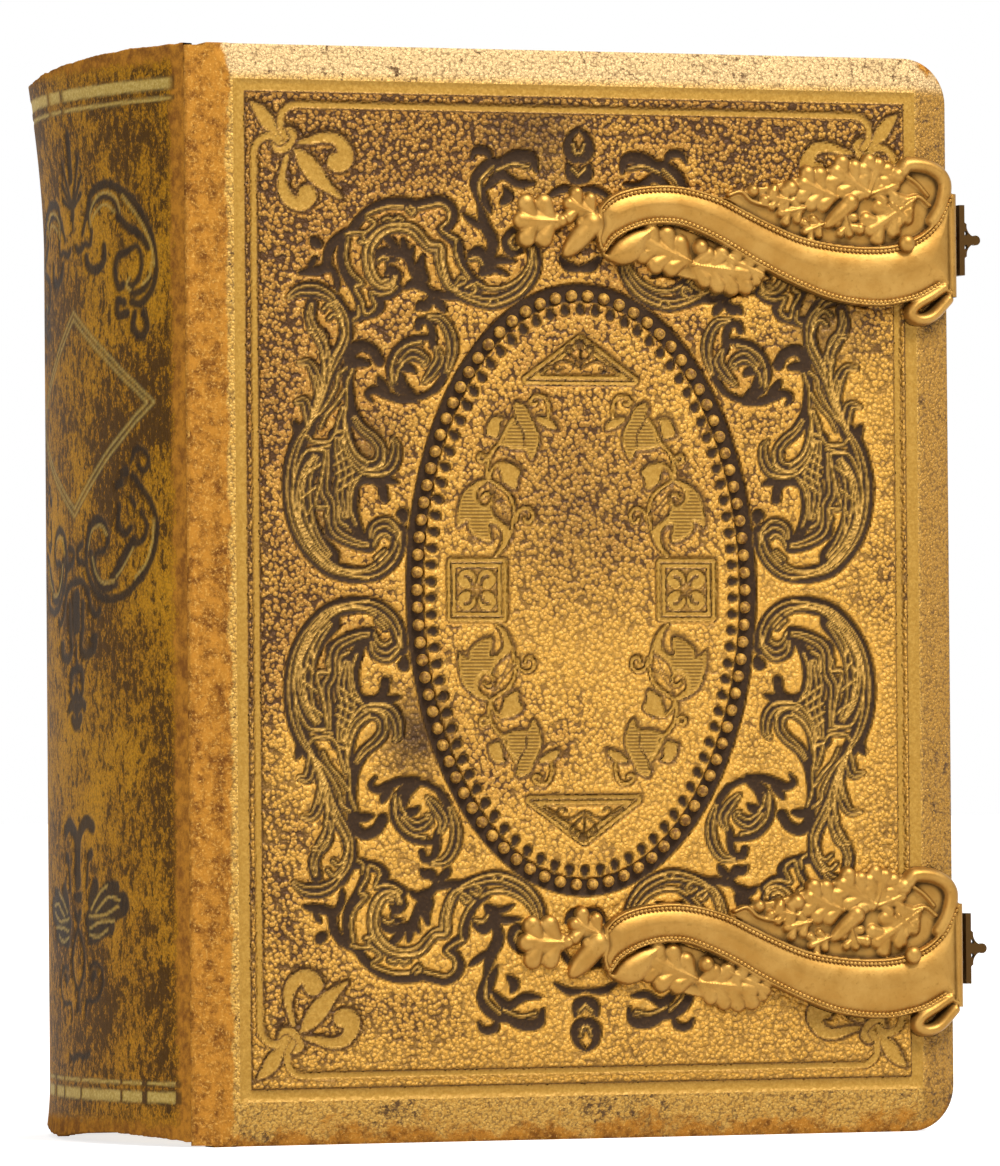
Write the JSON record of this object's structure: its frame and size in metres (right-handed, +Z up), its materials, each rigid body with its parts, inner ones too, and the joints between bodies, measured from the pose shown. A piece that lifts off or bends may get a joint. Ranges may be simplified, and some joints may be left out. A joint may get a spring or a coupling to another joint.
{
  "type": "antique photo album",
  "caption": "Thick leather photo album with bevelled embossed gilt covers, rounded spine, gilt-edged card leaves and brass leaf clasps that latch over the fore edge.",
  "frame": {"origin": "middle of the closed album's box at the tail, on the surface that it stands on", "axes": "+Z up from tail to head, +X from the spine to the fore edge, front cover facing -Y"},
  "size_m": [0.1271, 0.0706, 0.152],
  "materials": {
    "gilt_leather": "embossed and gilt, worn",
    "spine_leather": "rubbed brown",
    "board": "raw millboard",
    "lining": "coarse lining",
    "endpaper": "glazed white paper",
    "gilt_leaves": "card leaves with gilt edges",
    "clasp_brass": "stamped, tarnished in the hollows",
    "hinge_brass": "dark tarnish"
  },
  "bodies": {
    "leaves": {"page_block": "gilt_leaves", "spine_leather": "spine_leather", "spine_lining": "lining"},
    "front_cover": {"front_board": "board", "front_leather": "gilt_leather", "front_pastedown": "endpaper", "upper_clasp_plate": "clasp_brass", "upper_clasp_pins": "clasp_brass", "upper_catch": "hinge_brass", "lower_clasp_plate": "clasp_brass", "lower_clasp_pins": "clasp_brass", "lower_catch": "hinge_brass"},
    "back_cover": {"back_board": "board", "back_leather": "gilt_leather", "back_pastedown": "endpaper", "upper_hinge_plate": "clasp_brass", "upper_hinge_pin": "hinge_brass", "upper_plate_pins": "clasp_brass", "lower_hinge_plate": "clasp_brass", "lower_hinge_pin": "hinge_brass", "lower_plate_pins": "clasp_brass"},
    "upper_hasp": {"upper_hasp": "hinge_brass"},
    "lower_hasp": {"lower_hasp": "hinge_brass"}
  },
  "joints": [
    {"name": "front_cover_hinge", "type": "hinge", "parent": "leaves", "child": "front_cover", "pos_m": [-0.05465, -0.02945, 0.076], "axis": [0, 0, -1], "range_deg": [0, 180]},
    {"name": "back_cover_hinge", "type": "hinge", "parent": "leaves", "child": "back_cover", "pos_m": [-0.05465, 0.03095, 0.076], "axis": [0, 0, 1], "range_deg": [0, 180]},
    {"name": "upper_hasp_hinge", "type": "hinge", "parent": "back_cover", "child": "upper_hasp", "pos_m": [0.06105, 0.03125, 0.12625], "axis": [0, 0, 1], "range_deg": [-0.7, 170]},
    {"name": "lower_hasp_hinge", "type": "hinge", "parent": "back_cover", "child": "lower_hasp", "pos_m": [0.06105, 0.03125, 0.02575], "axis": [0, 0, 1], "range_deg": [-0.7, 170]}
  ]
}
